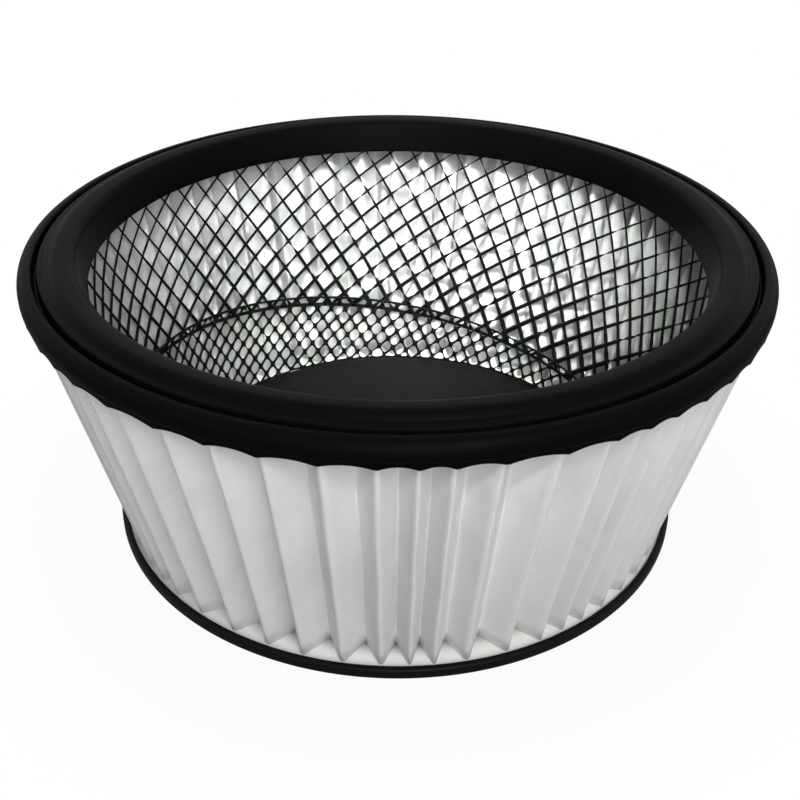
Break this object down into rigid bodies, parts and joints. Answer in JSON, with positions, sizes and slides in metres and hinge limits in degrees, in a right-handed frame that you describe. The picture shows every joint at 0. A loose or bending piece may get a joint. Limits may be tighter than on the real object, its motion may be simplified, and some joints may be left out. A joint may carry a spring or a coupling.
{
  "type": "vacuum cleaner filter",
  "caption": "Conical pleated cartridge filter for a drum vacuum cleaner, with a black sealing ring at its wide open end, netting inside the pleats and a closed end cap.",
  "frame": {"origin": "centre of the end cap's underside, on the filter's axis", "axes": "+Z along the axis from the closed end to the sealing ring, -Y towards the front as pictured"},
  "size_m": [0.3599, 0.36, 0.1535],
  "materials": {
    "ring_rubber": "moulded soft polyurethane, satin",
    "white_media": "needle-felt polyester, matt",
    "black_netting": "extruded netting, satin",
    "cap_plastic": "moulded, satin",
    "white_resin": "potting resin, set flat"
  },
  "bodies": {
    "root": {"sealing_ring": "ring_rubber", "pleated_media": "white_media", "upper_net": "black_netting", "lower_net": "black_netting", "end_cap": "cap_plastic", "end_resin": "white_resin"}
  },
  "joints": []
}
